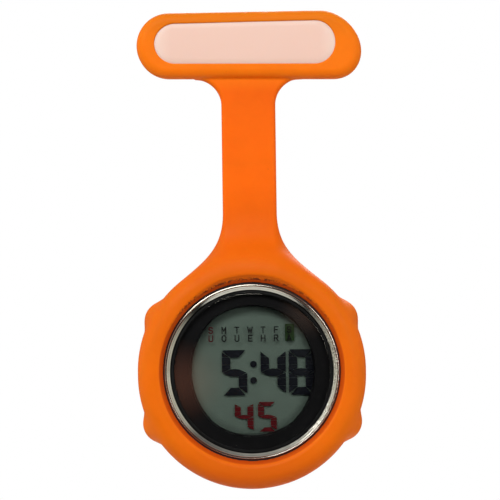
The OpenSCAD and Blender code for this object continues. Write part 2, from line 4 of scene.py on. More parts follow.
import bmesh
import bpy
import numpy as np
import openvdb
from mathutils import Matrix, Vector


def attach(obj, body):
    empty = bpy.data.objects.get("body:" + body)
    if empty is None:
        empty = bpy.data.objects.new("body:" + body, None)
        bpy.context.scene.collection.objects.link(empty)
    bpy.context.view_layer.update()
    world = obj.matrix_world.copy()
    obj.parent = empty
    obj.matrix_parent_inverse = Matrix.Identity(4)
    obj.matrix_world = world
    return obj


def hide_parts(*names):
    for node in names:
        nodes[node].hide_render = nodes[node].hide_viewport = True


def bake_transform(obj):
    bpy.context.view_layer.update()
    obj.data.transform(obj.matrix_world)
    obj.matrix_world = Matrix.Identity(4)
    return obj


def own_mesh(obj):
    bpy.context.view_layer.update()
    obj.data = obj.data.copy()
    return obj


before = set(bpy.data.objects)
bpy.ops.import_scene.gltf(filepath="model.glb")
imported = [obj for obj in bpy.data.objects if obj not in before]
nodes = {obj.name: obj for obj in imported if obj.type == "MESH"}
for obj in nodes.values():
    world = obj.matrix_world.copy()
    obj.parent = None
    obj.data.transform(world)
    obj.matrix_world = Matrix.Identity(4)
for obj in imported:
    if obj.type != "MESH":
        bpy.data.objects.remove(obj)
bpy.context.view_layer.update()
MM = 0.001

# ---------- sizes in millimetres, in the frame's axes ----------
# Name bar: a stadium that leans a little, is taller towards +X, and has a slanting +X end.
BAR_W, BAR_H, BAR_T, BAR_BACK = 41.3, 12.5, 5.0, -2.2
BAR_R, BAR_R_LEAN, BAR_EDGE = 6.1, 0.13, 1.7
# Window for the label: shifted, raised, and taller towards +X by this share per millimetre.
WINDOW_W, WINDOW_H = 33.0, 7.6
WINDOW_SHIFT, WINDOW_RISE, WINDOW_SPREAD = -0.5, 0.38, 0.0031
# Openings cut in the bar: width, height, lowest and highest level above the bar's back.
LABEL_CUTS = ((WINDOW_W, WINDOW_H, 3.0, 9.0), (34.9, 9.55, 2.5, 3.55))
BROOCH_CUTS = ((34.6, 8.1, 0.85, 1.65), (32.4, 5.9, -4.0, 1.2))
# Strap, with a fillet under the bar.
STRAP_W, STRAP_T, STRAP_BACK, STRAP_EDGE = 9.9, 2.6, -3.2, 0.75
STRAP_TOP, STRAP_END = -3, -47
HINGE_Y = STRAP_BACK - STRAP_T / 2
NECK_TOP, NECK_FILLET, NECK_HALF_W = -6.0, 4.9, 9.7
# Pocket: a disc that is slightly taller than wide, flaring into the strap.
WATCH_Z, POCKET_Z, POCKET_RISE, POCKET_BACK = -59.4, -60.1, 0.8, -1.0
POCKET_R, POCKET_T, POCKET_FRONT_EDGE, POCKET_BACK_EDGE = 20.75, 9.6, 2.9, 1.7
FLARE = 8.4
# Watch seat in the pocket: back opening, groove for the case, and a front lip that is taller than wide.
BACK_OPENING_R, BACK_OPENING_H = 13.5, 4
GROOVE_R, GROOVE_H, GROOVE_HALF = 17.05, 4.8, 3.6
LIP_R, LIP_H, LIP_SLOPE, LIP_TALL = 15.88, 8.4, 0.78, 0.026
# Button domes, and the holes behind them for the pushers.
BUTTON_H = 4.4
BUTTON_ANGLES = (30, 150, 210, -30)
DOME_TOPS = (22.0, 22.0, 22.6, 22.6)
DOME_R, DOME_BLEND = 3.6, 1.0
PUSHER_HOLE_R, PUSHER_HOLE_AT, PUSHER_HOLE_HALF = 1.95, 17.2, 1.15
# Where the moulding is cut into pieces: across the strap, and round each dome (angle, distance).
SEAM = -21.5
PLUG_CUTS = ((20, 18.6), (160, 18.6), (210, 19.3), (-30, 19.3))
VOXEL = 0.24
SURFACE_LOW, SURFACE_HIGH = (-23.2, -11.4, -82.0), (23.2, -0.2, 7.2)

WATCH_AXIS = (0, 0, WATCH_Z * MM)


# ---------- signed distances ----------
def smooth_min(a, b, k):
    h = np.maximum(k - np.abs(a - b), 0) / k
    return np.minimum(a, b) - h * h * k / 4


def smooth_max(a, b, k):
    return -smooth_min(-a, -b, k)


def fillet_union(a, b, r):
    u, v = np.maximum(r - a, 0), np.maximum(r - b, 0)
    return np.maximum(r, np.minimum(a, b)) - np.hypot(u, v)


def extrude(flat, c, half, r):
    """A flat outline's distance made into a slab, half thick each way from c = 0, with rounded edges."""
    u, v = flat + r, np.abs(c) - half + r
    return np.minimum(np.maximum(u, v), 0) + np.hypot(np.maximum(u, 0), np.maximum(v, 0)) - r


def stadium(x, z, w, h):
    return np.hypot(np.maximum(np.abs(x) - (w - h) / 2, 0), z) - h / 2


def bar_distance(x, y, z):
    slant = np.clip((x - 8) / 6, 0, 1)
    x_bar = x + 0.2 * z * slant * slant * (3 - 2 * slant)
    lean = x / 14.4
    along = np.maximum(np.abs(x_bar) - (BAR_W - BAR_H) / 2, 0)
    flat = np.hypot(along, z - 0.1 + 0.05 * lean) - (BAR_R + BAR_R_LEAN * lean)
    return extrude(flat * 0.98, y - (BAR_BACK - BAR_T / 2), BAR_T / 2, BAR_EDGE)


def strap_distance(x, y, z):
    neck = fillet_union(np.abs(x) - STRAP_W / 2, NECK_TOP - z, NECK_FILLET)
    neck = np.maximum(np.maximum(neck, np.abs(x) - NECK_HALF_W), np.maximum(z - STRAP_TOP, STRAP_END - z))
    return extrude(neck, y - HINGE_Y, STRAP_T / 2, STRAP_EDGE)


def cut_bar(body, x, y, z):
    """Opens the label's window and groove, and the brooch's slot and back window."""
    x_label, z_label = x - WINDOW_SHIFT, (z - WINDOW_RISE) / (1 + WINDOW_SPREAD * x)
    openings = [(x_label, z_label, cut) for cut in LABEL_CUTS] + [(x, z, cut) for cut in BROOCH_CUTS]
    for u, v, (w, tall, lo, hi) in openings:
        cut = extrude(stadium(u, v, w, tall), y - (BAR_BACK - (lo + hi) / 2), (hi - lo) / 2, 0.1)
        body = smooth_max(body, -cut, 0.2)
    return body


def cut_seat(body, x, z, h):
    """Opens the watch's seat: the back opening, the case's groove and the sloping front lip."""
    rho = np.hypot(x, z - WATCH_Z)
    seat = np.maximum(rho - BACK_OPENING_R, h - BACK_OPENING_H)
    seat = np.minimum(seat, extrude(rho - GROOVE_R, h - GROOVE_H, GROOVE_HALF, 0.1))
    tall = 1 - LIP_TALL * np.clip((h - 8.2) / 1.4, 0, 1)
    oval = np.hypot(x, (z - WATCH_Z) * tall)
    lip = np.maximum((oval - (LIP_R + (h - LIP_H) * LIP_SLOPE)) * 0.8, 6 - h)
    seat = smooth_min(seat, lip, 0.35)
    return smooth_max(body, -seat, 0.25)


def silicone(x, y, z):
    """Distance to the one-piece silicone moulding. h is the height above the pocket's back."""
    bar = bar_distance(x, y, z)
    strap = strap_distance(x, y, z)
    h = POCKET_BACK - y
    rho = np.hypot(x, z - np.clip(z, POCKET_Z, POCKET_Z + POCKET_RISE))
    edge = np.where(h > POCKET_T / 2, POCKET_FRONT_EDGE, POCKET_BACK_EDGE)
    disc = extrude(rho - POCKET_R, h - POCKET_T / 2, POCKET_T / 2, edge)
    body = smooth_min(disc, strap, FLARE)
    for angle, top in zip(BUTTON_ANGLES, DOME_TOPS):
        a = math.radians(angle)
        cx, cz = (top - DOME_R) * math.cos(a), WATCH_Z + (top - DOME_R) * math.sin(a)
        ball = np.sqrt((x - cx) ** 2 + (z - cz) ** 2 + ((h - BUTTON_H) * 0.97) ** 2) - DOME_R
        body = smooth_min(body, ball, DOME_BLEND)
    # Near the bar there is only the bar and the strap, without the pocket's flare.
    body = np.where(z > -12, fillet_union(bar, strap, 0.3), body)
    body = cut_bar(body, x, y, z)
    body = cut_seat(body, x, z, h)
    for angle in BUTTON_ANGLES:
        a = math.radians(angle)
        along = x * math.cos(a) + (z - WATCH_Z) * math.sin(a)
        across = -x * math.sin(a) + (z - WATCH_Z) * math.cos(a)
        hole = np.hypot(across, h - BUTTON_H) - PUSHER_HOLE_R
        hole = np.maximum(hole, np.abs(along - PUSHER_HOLE_AT) - PUSHER_HOLE_HALF)
        body = smooth_max(body, -hole, 0.2)
    return body


def gradient(f, p, step=0.02):
    g = np.empty_like(p)
    for i in range(3):
        a, b = p.copy(), p.copy()
        a[:, i] += step
        b[:, i] -= step
        g[:, i] = f(*a.T) - f(*b.T)
    return g / (2 * step)


# ---------- meshes ----------
def surface(f, low, high, voxel):
    """Quads on the zero level of f, with each point moved onto it."""
    axes = [np.arange(a, b, voxel) for a, b in zip(low, high)]
    x, z = np.meshgrid(axes[0], axes[2], indexing="ij")
    field = np.stack([f(x, np.full_like(x, y), z) for y in axes[1]], axis=1)
    band = 3 * voxel
    field = np.clip(field, -band, band).astype(np.float32)
    grid = openvdb.FloatGrid(band)
    grid.copyFromArray(field)
    points, quads = grid.convertToQuads(0.0)
    p = points.astype(float) * voxel + np.array(low)
    for _ in range(3):
        g = gradient(f, p)
        d = f(*p.T)
        move = d / np.maximum((g * g).sum(1), 0.25)
        p -= np.clip(move, -voxel, voxel)[:, None] * g
    return p, quads.astype(int)


def mesh_object(name, points, faces, smooth=True):
    mesh = bpy.data.meshes.new(name)
    mesh.from_pydata((np.asarray(points) * MM).tolist(), [], [list(f) for f in faces])
    mesh.update()
    if smooth:
        mesh.shade_smooth()
    obj = bpy.data.objects.new(name, mesh)
    bpy.context.scene.collection.objects.link(obj)
    return obj


def face_outwards(obj):
    bm = bmesh.new()
    bm.from_mesh(obj.data)
    bmesh.ops.recalc_face_normals(bm, faces=bm.faces[:])
    bm.to_mesh(obj.data)
    bm.free()


def cut_copy(source, name, planes):
    """A closed piece of source: what is behind each plane (point, normal) goes, and flat caps close it."""
    bm = bmesh.new()
    bm.from_mesh(source.data)
    for point, normal in planes:
        found = bmesh.ops.bisect_plane(
            bm, geom=bm.verts[:] + bm.edges[:] + bm.faces[:], dist=1e-8,
            plane_co=Vector(point) * MM, plane_no=Vector(normal), clear_inner=True)
        edges = [e for e in found["geom_cut"] if isinstance(e, bmesh.types.BMEdge)]
        bmesh.ops.triangle_fill(bm, edges=edges, use_dissolve=True, use_beauty=True)
    mesh = bpy.data.meshes.new(name)
    bm.to_mesh(mesh)
    bm.free()
    obj = bpy.data.objects.new(name, mesh)
    bpy.context.scene.collection.objects.link(obj)
    mesh.shade_smooth()
    co = np.empty(len(mesh.vertices) * 3)
    mesh.vertices.foreach_get("co", co)
    p = co.reshape(-1, 3) / MM
    g = gradient(silicone, p)
    g /= np.linalg.norm(g, axis=1)[:, None]
    mesh.normals_split_custom_set_from_vertices(g.tolist())
    return obj


points, quads = surface(silicone, SURFACE_LOW, SURFACE_HIGH, VOXEL)
whole = mesh_object("moulding", points, quads)
bm = bmesh.new()
bm.from_mesh(whole.data)
if bm.calc_volume(signed=True) < 0:
    bmesh.ops.reverse_faces(bm, faces=bm.faces[:])
    bm.to_mesh(whole.data)
bm.free()

plug_planes = []
for angle, reach in PLUG_CUTS:
    a = math.radians(angle)
    out = (math.cos(a), 0, math.sin(a))
    plug_planes.append(((out[0] * reach, 0, WATCH_Z + out[2] * reach), out))
below = ((0, 0, SEAM), (0, 0, -1))
inward = [(p, tuple(-c for c in n)) for p, n in plug_planes]
silicone_bar = cut_copy(whole, "silicone_bar", [((0, 0, SEAM), (0, 0, 1))])
silicone_pocket = cut_copy(whole, "silicone_pocket", [below] + inward)
plugs = [cut_copy(whole, f"silicone_dome_{k + 1}", [below, plug_planes[k]]) for k in range(4)]
bpy.data.objects.remove(whole)


# ---------- materials ----------
OFF, ON = (0,) * 4, (1,) * 4


def linear(rgb):
    """sRGB, 0 to 255, as a linear colour."""
    out = []
    for c in rgb:
        c /= 255
        out.append(c / 12.92 if c <= 0.04045 else ((c + 0.055) / 1.055) ** 2.4)
    return tuple(out) + (1,)


class Shader:
    """A principled material and short calls to add nodes to it."""

    def __init__(self, name, color, rough, **values):
        self.mat = bpy.data.materials.new(name)
        self.mat.use_nodes = True
        self.tree = self.mat.node_tree
        self.bsdf = self.tree.nodes["Principled BSDF"]
        self.set(color, rough, **values)
        self.where = self.add("ShaderNodeTexCoord").outputs["Object"]

    def set(self, color, rough, **values):
        self.bsdf.inputs["Base Color"].default_value = color
        self.bsdf.inputs["Roughness"].default_value = rough
        for key, value in values.items():
            self.bsdf.inputs[key.replace("_", " ")].default_value = value

    def add(self, kind, **settings):
        node = self.tree.nodes.new(kind)
        for key, value in settings.items():
            setattr(node, key, value)
        return node

    def link(self, a, b):
        self.tree.links.new(a, b)

    def noise(self, scale, detail=3.0, rough=0.5, stretch=None):
        node = self.add("ShaderNodeTexNoise")
        node.inputs["Scale"].default_value = scale
        node.inputs["Detail"].default_value = detail
        node.inputs["Roughness"].default_value = rough
        source = self.where
        if stretch:
            mapping = self.add("ShaderNodeMapping")
            mapping.inputs["Scale"].default_value = stretch
            self.link(source, mapping.inputs["Vector"])
            source = mapping.outputs["Vector"]
        self.link(source, node.inputs["Vector"])
        return node.outputs["Fac"]

    def ramp(self, fac, stops):
        node = self.add("ShaderNodeValToRGB")
        element = node.color_ramp.elements
        while len(element) < len(stops):
            element.new(0.5)
        for e, (at, color) in zip(element, stops):
            e.position = at
            e.color = color
        self.link(fac, node.inputs["Fac"])
        return node.outputs["Color"]

    def color(self, fac, stops):
        self.link(self.ramp(fac, stops), self.bsdf.inputs["Base Color"])

    def roughness(self, fac, low, high):
        values = self.ramp(fac, ((0.3, (low,) * 3 + (1,)), (0.7, (high,) * 3 + (1,))))
        self.link(values, self.bsdf.inputs["Roughness"])

    def bump(self, height, strength, distance):
        """Adds one more layer of bump, distance in millimetres."""
        node = self.add("ShaderNodeBump")
        node.inputs["Strength"].default_value = strength
        node.inputs["Distance"].default_value = distance * MM
        self.link(height, node.inputs["Height"])
        socket = self.bsdf.inputs["Normal"]
        if socket.is_linked:
            self.link(socket.links[0].from_socket, node.inputs["Normal"])
        self.link(node.outputs["Normal"], socket)

    def scaled(self, value, factor, offset):
        node = self.add("ShaderNodeMath", operation="MULTIPLY_ADD")
        self.link(value, node.inputs[0])
        node.inputs[1].default_value = factor
        node.inputs[2].default_value = offset
        return node.outputs[0]

    def times(self, a, b):
        node = self.add("ShaderNodeMath", operation="MULTIPLY")
        self.link(a, node.inputs[0])
        self.link(b, node.inputs[1])
        return node.outputs[0]

    def plus(self, a, b):
        node = self.add("ShaderNodeMath", operation="ADD")
        self.link(a, node.inputs[0])
        self.link(b, node.inputs[1])
        return node.outputs[0]

    def multiply(self, a, b):
        node = self.add("ShaderNodeVectorMath", operation="MULTIPLY")
        self.link(a, node.inputs[0])
        self.link(b, node.inputs[1])
        return node.outputs["Vector"]

    def axes(self):
        """The coordinates one by one, in metres."""
        node = self.add("ShaderNodeSeparateXYZ")
        self.link(self.where, node.inputs[0])
        return node.outputs

    def radial(self, center):
        """The distance from a watch-axis line through center, in millimetres."""
        mapping = self.add("ShaderNodeMapping")
        mapping.inputs["Location"].default_value = [-c for c in center]
        mapping.inputs["Scale"].default_value = (1, 0, 1)
        self.link(self.where, mapping.inputs["Vector"])
        length = self.add("ShaderNodeVectorMath", operation="LENGTH")
        self.link(mapping.outputs["Vector"], length.inputs[0])
        scale = self.add("ShaderNodeMath", operation="MULTIPLY")
        self.link(length.outputs["Value"], scale.inputs[0])
        scale.inputs[1].default_value = 1000
        return scale.outputs[0]


def tone(color, k):
    return tuple(min(1, c * k) for c in color[:3]) + (1,)


def thin_clear(name, tint, gloss, rough):
    """A clear sheet: light goes straight through, and smudged gloss strengthens at grazing angles."""
    mat = bpy.data.materials.new(name)
    mat.use_nodes = True
    tree = mat.node_tree
    for node in list(tree.nodes):
        if node.type == "BSDF_PRINCIPLED":
            tree.nodes.remove(node)
    out = next(n for n in tree.nodes if n.type == "OUTPUT_MATERIAL")
    clear = tree.nodes.new("ShaderNodeBsdfTransparent")
    clear.inputs["Color"].default_value = tint
    shiny = tree.nodes.new("ShaderNodeBsdfGlossy")
    where = tree.nodes.new("ShaderNodeTexCoord").outputs["Object"]
    smudge = tree.nodes.new("ShaderNodeTexNoise")
    smudge.inputs["Scale"].default_value = 180
    tree.links.new(where, smudge.inputs["Vector"])
    haze = tree.nodes.new("ShaderNodeMapRange")
    haze.inputs["To Min"].default_value = rough * 0.7
    haze.inputs["To Max"].default_value = rough * 1.4
    tree.links.new(smudge.outputs["Fac"], haze.inputs["Value"])
    tree.links.new(haze.outputs["Result"], shiny.inputs["Roughness"])
    fresnel = tree.nodes.new("ShaderNodeFresnel")
    fresnel.inputs["IOR"].default_value = gloss
    mix = tree.nodes.new("ShaderNodeMixShader")
    tree.links.new(fresnel.outputs[0], mix.inputs[0])
    tree.links.new(clear.outputs[0], mix.inputs[1])
    tree.links.new(shiny.outputs[0], mix.inputs[2])
    tree.links.new(mix.outputs[0], out.inputs["Surface"])
    return mat


def plain(name, rgb, rough, vary=0.12, grain=900, dent=0.01, **values):
    """A moulded or painted surface: faint mottling, a fine grain and uneven gloss."""
    base = linear(rgb)
    s = Shader(name, base, rough, **values)
    s.color(s.noise(grain * 0.25), ((0.3, tone(base, 1 - vary)), (0.7, tone(base, 1 + vary))))
    s.roughness(s.noise(grain * 0.4), rough * 0.85, min(1, rough * 1.15))
    s.bump(s.noise(grain, 4), 0.4, dent)
    return s.mat


def metal(name, rgb, rough, brush=None, dent=0.006):
    base = linear(rgb)
    s = Shader(name, base, rough, Metallic=1.0)
    s.color(s.noise(160), ((0.3, tone(base, 0.9)), (0.7, tone(base, 1.06))))
    lines = s.noise(1.0, 2, 0.6, brush) if brush else s.noise(1500, 3)
    s.roughness(lines, rough * 0.7, min(1, rough * 1.4))
    s.bump(lines, 0.3, dent)
    return s.mat


# Silicone: satin, faintly translucent, its colour drifting down the fob with painted shade mixed in, with
# painted shade that makes it darker and redder inside the lip, and with grit caught above it. Its coordinates
# are the unbent ones, so that the look stays on the rubber as it flexes.
soft = Shader("silicone", linear((245, 108, 22)), 0.5,
              Subsurface_Weight=0.15, Subsurface_Scale=0.0012, Specular_IOR_Level=0.09)
soft.bsdf.inputs["Subsurface Radius"].default_value = (1.0, 0.3, 0.1)
soft.where = soft.add("ShaderNodeAttribute", attribute_name="rest").outputs["Vector"]
axes = soft.axes()
# The ramps run over z from -81 to 7 mm, as 0 to 1, and over the radius from 0 to 40 mm.
Z_SHARE, Z_START, REACH = 0.01136, 0.92, 40
up = soft.scaled(axes["Z"], Z_SHARE / MM, Z_START)
# Painted shade in these tones: a shadow under the bar at -8.5 mm and a darker pocket bottom at -79 mm.
tones_and_painted_shade = ((-79, (213, 93, 10)), (-72, (236, 110, 8)), (-58, (238, 110, 7)), (-45, (227, 105, 6)),
         (-37, (226, 98, 4)), (-25, (255, 108, 6)), (-8.5, (246, 103, 6)), (-5.5, (254, 123, 14)),
         (1, (246, 121, 9)), (6, (221, 116, 15)))
drift_and_painted_shade = soft.ramp(up, [(z * Z_SHARE + Z_START, linear(rgb)) for z, rgb in tones_and_painted_shade])
mottle = soft.ramp(soft.noise(110, 6, 0.65),
                   ((0.3, (0.95, 0.94, 0.92, 1)), (0.5, ON), (0.72, (1.03, 1.04, 1.12, 1))))
# Behind y = -8.4 mm the radius is pushed past every stop, so that the lip's painted shade and grit stay on
# the front.
behind = soft.ramp(soft.scaled(axes["Y"], 1000 / 1.6, 5.75), ((0, OFF), (0.5, ON)))
radius = soft.plus(soft.scaled(soft.radial(WATCH_AXIS), 1 / REACH, 0), behind)
# Painted shade on the lip's inner wall: darker and redder towards the watch.
lip_painted_shade = ((15.95, (0.42, 0.2, 0.1, 1)), (16.1, (0.62, 0.38, 0.2, 1)),
             (16.7, (0.7, 0.5, 0.35, 1)), (16.86, ON))
shade = soft.ramp(radius, [(r / REACH, tint) for r, tint in lip_painted_shade])
mixed = soft.multiply(soft.multiply(drift_and_painted_shade, mottle), shade)
grit_band = ((16.5, OFF), (16.65, (0.9,) * 4), (16.9, (0.9,) * 4), (17.1, OFF))
near_lip = soft.ramp(radius, [(r / REACH, amount) for r, amount in grit_band])
near_top = soft.ramp(up, ((0.32, OFF), (0.40, ON)))
grit = soft.ramp(soft.noise(1700, 4, 0.7), ((0.46, OFF), (0.56, ON)))
smear = soft.ramp(soft.noise(240, 2), ((0.33, OFF), (0.48, ON)))
grit = soft.times(soft.times(near_lip, near_top), soft.times(grit, smear))
fleck = soft.ramp(soft.noise(900, 5, 0.75), ((0.70, OFF), (0.76, (0.8,) * 4)))
grit = soft.plus(grit, fleck)
dirt = soft.add("ShaderNodeMix", data_type="RGBA")
dirt.inputs[7].default_value = (0.08, 0.018, 0.006, 1)
soft.link(grit, dirt.inputs[0])
soft.link(mixed, dirt.inputs[6])
soft.link(dirt.outputs[2], soft.bsdf.inputs["Base Color"])
soft.roughness(soft.noise(260, 4), 0.42, 0.6)
soft.bump(soft.noise(2600, 5, 0.65), 0.35, 0.02)
soft.bump(soft.noise(420, 3), 0.25, 0.03)
for piece in [silicone_bar, silicone_pocket] + plugs:
    piece.data.materials.clear()
    piece.data.materials.append(soft.mat)
    flat = np.empty(len(piece.data.vertices) * 3, np.float32)
    piece.data.vertices.foreach_get("co", flat)
    piece.data.attributes.new("rest", "FLOAT_VECTOR", "POINT").data.foreach_set("vector", flat)


# ---------- label plate ----------
def lofted_stadium(name, w, h, profile, around=160):
    """A closed plate shaped like the window. Its outline steps through profile, (inset, y), back to front."""
    half, r = (w - h) / 2, h / 2
    rings = []
    for inset, y in profile:
        q = r - inset
        ring = []
        for i in range(around):
            a = 2 * math.pi * i / around
            c, n = math.cos(a), math.sin(a)
            side = half if c >= 0 else -half
            px = side + q * c + WINDOW_SHIFT
            ring.append((px, y, WINDOW_RISE + q * n * (1 + WINDOW_SPREAD * px)))
        rings.append(ring)
    pts = [p for ring in rings for p in ring]
    faces = []
    for k in range(len(rings) - 1):
        for i in range(around):
            j = (i + 1) % around
            faces.append((k * around + i, k * around + j, (k + 1) * around + j, (k + 1) * around + i))

    def lid(k, flip):
        """Quads across one ring, from its top half to its bottom half."""
        order = []
        start = k * around
        top = [start + i for i in range(0, around // 2 + 1)]
        bottom = [start + (around - i) % around for i in range(0, around // 2 + 1)]
        for i in range(len(top) - 1):
            quad = [top[i], bottom[i], bottom[i + 1], top[i + 1]]
            quad = [v for n, v in enumerate(quad) if v not in quad[:n]]
            order.append(tuple(quad[::-1] if flip else quad))
        return order

    faces += lid(0, False) + lid(len(rings) - 1, True)
    obj = mesh_object(name, pts, faces)
    face_outwards(obj)
    obj.data.set_sharp_from_angle(angle=math.radians(35))
    return obj


plate_back, plate_front = BAR_BACK - 2.55, BAR_BACK - 4.95
BEVEL_W, BEVEL_T, BEVEL_STEPS = 1.1, 0.14, 8
profile = [(0.6, plate_back), (-0.75, plate_back), (-0.9, plate_back - 0.12), (-0.9, plate_back - 0.8)]
profile += [(0.03, plate_back - 0.88), (0.0, plate_front + BEVEL_T)]
for i in range(1, BEVEL_STEPS + 1):
    t = i / BEVEL_STEPS
    profile.append((BEVEL_W * t, plate_front + BEVEL_T * (1 - math.sin(t * math.pi / 2))))
profile.append((1.8, plate_front - 0.02))
label = lofted_stadium("label_plate_milky", WINDOW_W, WINDOW_H, profile)

# Milky peach plastic, with painted highlights that make it paler towards both ends.
milk = linear((246, 208, 192))
s = Shader("milky_plastic", milk, 0.35,
           Subsurface_Weight=0.35, Subsurface_Scale=0.0012, Specular_IOR_Level=0.25)
s.bsdf.inputs["Subsurface Radius"].default_value = (1.0, 0.8, 0.6)
# Painted highlights: a paler tint at both ends of the plate.
painted_highlight_tint = (1.05, 1.13, 1.16, 1)
painted_end_highlights = s.ramp(s.scaled(s.axes()["X"], 25, 0.5), ((0.085, painted_highlight_tint), (0.15, ON), (0.83, ON), (0.895, painted_highlight_tint)))
tint = s.ramp(s.noise(40, 1), ((0.2, tone(milk, 0.94)), (0.8, tone(milk, 0.95))))
s.link(s.multiply(painted_end_highlights, tint), s.bsdf.inputs["Base Color"])
s.roughness(s.noise(300, 4), 0.32, 0.38)
s.bump(s.noise(900, 3), 0.1, 0.003)
label.data.materials.append(s.mat)


# ---------- springs for the buttons --------------------------
def coil(name, center, axis, side, r, wire, turns, length):
    """A closed wire coil that starts at center and rises along axis, with flat first and last half turns."""
    axis, side = Vector(axis), Vector(side)
    third = axis.cross(side)
    steps, sides = 20, 8
    n = int(turns * steps)
    pts, faces = [], []
    for i in range(n + 1):
        a = 2 * math.pi * i / steps
        t = i / n
        flat = min(1, max(0, (t * turns - 0.5) / max(turns - 1, 0.01)))
        along = wire + (length - 2 * wire) * flat
        for j in range(sides):
            b = 2 * math.pi * j / sides
            q = r + wire * math.cos(b)
            p = Vector(center) + side * (q * math.cos(a)) + third * (q * math.sin(a))
            p += axis * (along + wire * math.sin(b))
            pts.append(tuple(p))
    for i in range(n):
        for j in range(sides):
            k = (j + 1) % sides
            faces.append((i * sides + j, i * sides + k, (i + 1) * sides + k, (i + 1) * sides + j))
    faces.append(tuple(range(sides))[::-1])
    faces.append(tuple(n * sides + j for j in range(sides)))
    obj = mesh_object(name, pts, faces)
    face_outwards(obj)
    return obj


STEEL = metal("steel_fine", (205, 206, 208), 0.28)
SPRING_SEAT_R, SPRING_R, SPRING_WIRE, SPRING_TURNS, SPRING_LENGTH = 15.62, 1.2, 0.09, 3.0, 1.24
springs = []
for k, angle in enumerate(BUTTON_ANGLES):
    a = math.radians(angle)
    out = (math.cos(a), 0, math.sin(a))
    seat = (out[0] * SPRING_SEAT_R, POCKET_BACK - BUTTON_H, WATCH_Z + out[2] * SPRING_SEAT_R)
    spring = coil(f"button_spring_{k + 1}", seat, out, (-out[2], 0, out[0]),
                  SPRING_R, SPRING_WIRE, SPRING_TURNS, SPRING_LENGTH)
    spring.data.materials.append(STEEL)
    springs.append((spring, out, seat))


# ---------- bezel ----------
def lathe(name, profile, around=240):
    """A ring round the watch axis from a closed outline of (radius, height above the pocket's back)."""
    pts, faces = [], []
    n = len(profile)
    for i in range(around):
        a = 2 * math.pi * i / around
        pts += [(r * math.cos(a), POCKET_BACK - h, WATCH_Z + r * math.sin(a)) for r, h in profile]
    for i in range(around):
        j = (i + 1) % around
        for k in range(n):
            m = (k + 1) % n
            faces.append((i * n + k, j * n + k, j * n + m, i * n + m))
    obj = mesh_object(name, pts, faces)
    face_outwards(obj)
    obj.data.set_sharp_from_angle(angle=math.radians(12))
    return obj


def arc(r, h, size, start, end, steps):
    """Points of an arc in a lathe outline, angles in degrees from the outward direction."""
    turn = [math.radians(start + (end - start) * i / steps) for i in range(steps + 1)]
    return [(r + size * math.cos(a), h + size * math.sin(a)) for a in turn]


# Foot in the case, round bead, groove, then two facets that fall towards the crystal.
outline = [(14.65, 7.3), (15.75, 7.3), (15.75, 8.36), (15.86, 8.4)]
outline += arc(15.64, 8.58, 0.22, 0, 90, 10)
outline += [(15.6, 8.78), (15.56, 8.6), (15.5, 8.6), (15.46, 8.92), (15.42, 8.95)]
outline += [(15.17, 8.79), (15.14, 8.755), (14.86, 8.565), (14.82, 8.54), (14.65, 8.52)]
rim = lathe("bezel_polished", outline)
# Polished steel: turning marks, worn pits on the +X side, and painted shade that makes it black inside the
# inner edge.
bezel = Shader("bezel_polish", linear((186, 184, 176)), 0.1, Metallic=1.0)
spun = bezel.scaled(bezel.radial(WATCH_AXIS), 70, 0)
wave = bezel.add("ShaderNodeMath", operation="SINE")
bezel.link(spun, wave.inputs[0])
bezel.bump(wave.outputs[0], 0.1, 0.002)
bezel.roughness(bezel.noise(700, 3), 0.07, 0.17)
worn = bezel.ramp(bezel.scaled(bezel.axes()["X"], 30, 0.5), ((0.80, OFF), (0.92, ON)))
pits = bezel.ramp(bezel.noise(1500, 4, 0.7), ((0.5, OFF), (0.6, ON)))
bezel.bump(bezel.times(worn, pits), 0.6, 0.04)
turned = bezel.ramp(bezel.noise(260), ((0.3, linear((176, 173, 162))), (0.7, linear((200, 197, 186)))))
# Painted shade: black inside r = 14.82 mm, where the step under the crystal lies in shadow.
painted_shade_inside = bezel.ramp(bezel.scaled(bezel.radial(WATCH_AXIS), 1 / 20, 0),
                    ((14.79 / 20, (0.02, 0.02, 0.02, 1)), (14.85 / 20, ON)))
bezel.link(bezel.multiply(turned, painted_shade_inside), bezel.bsdf.inputs["Base Color"])
rim.data.materials.append(bezel.mat)


# ---------- finishes for the CAD parts ----------
def finish_nodes(mat, *names):
    for name in names:
        mesh = nodes[name].data
        for i in range(len(mesh.materials)):
            mesh.materials[i] = mat
        if not len(mesh.materials):
            mesh.materials.append(mat)


finish_nodes(thin_clear("crystal_clear", (0.985, 0.985, 0.985, 1), 1.45, 0.02), "crystal")
finish_nodes(thin_clear("lcd_glass_clear", (0.985, 0.99, 0.985, 1), 1.12, 0.05),
             "lcd_glass_front", "lcd_glass_rear")
finish_nodes(thin_clear("polarizer_film", (0.87, 0.885, 0.875, 1), 1.2, 0.12), "lcd_polarizer_front")
finish_nodes(plain("guide_clear", (200, 208, 204), 0.2, 0.04), "light_guide")

# The display's greenish grey, with painted shade that darkens it towards the window's edge.
grey = linear((150, 164, 155))
lcd = Shader("reflector_film", grey, 0.55, Metallic=0.0, Specular_IOR_Level=0.4)
mottle = lcd.ramp(lcd.noise(140, 4, 0.6), ((0.3, tone(grey, 0.93)), (0.7, tone(grey, 1.06))))
# Painted shade: the reflector darkens from r = 10.3 to 11.5 mm.
edge = lcd.ramp(lcd.scaled(lcd.radial(WATCH_AXIS), 1 / 20, 0),
                ((10.3 / 20, ON), (11.5 / 20, (0.7, 0.7, 0.7, 1))))
lcd.link(lcd.multiply(mottle, edge), lcd.bsdf.inputs["Base Color"])
lcd.bump(lcd.noise(3200, 3), 0.3, 0.01)
finish_nodes(lcd.mat, "lcd_reflector")

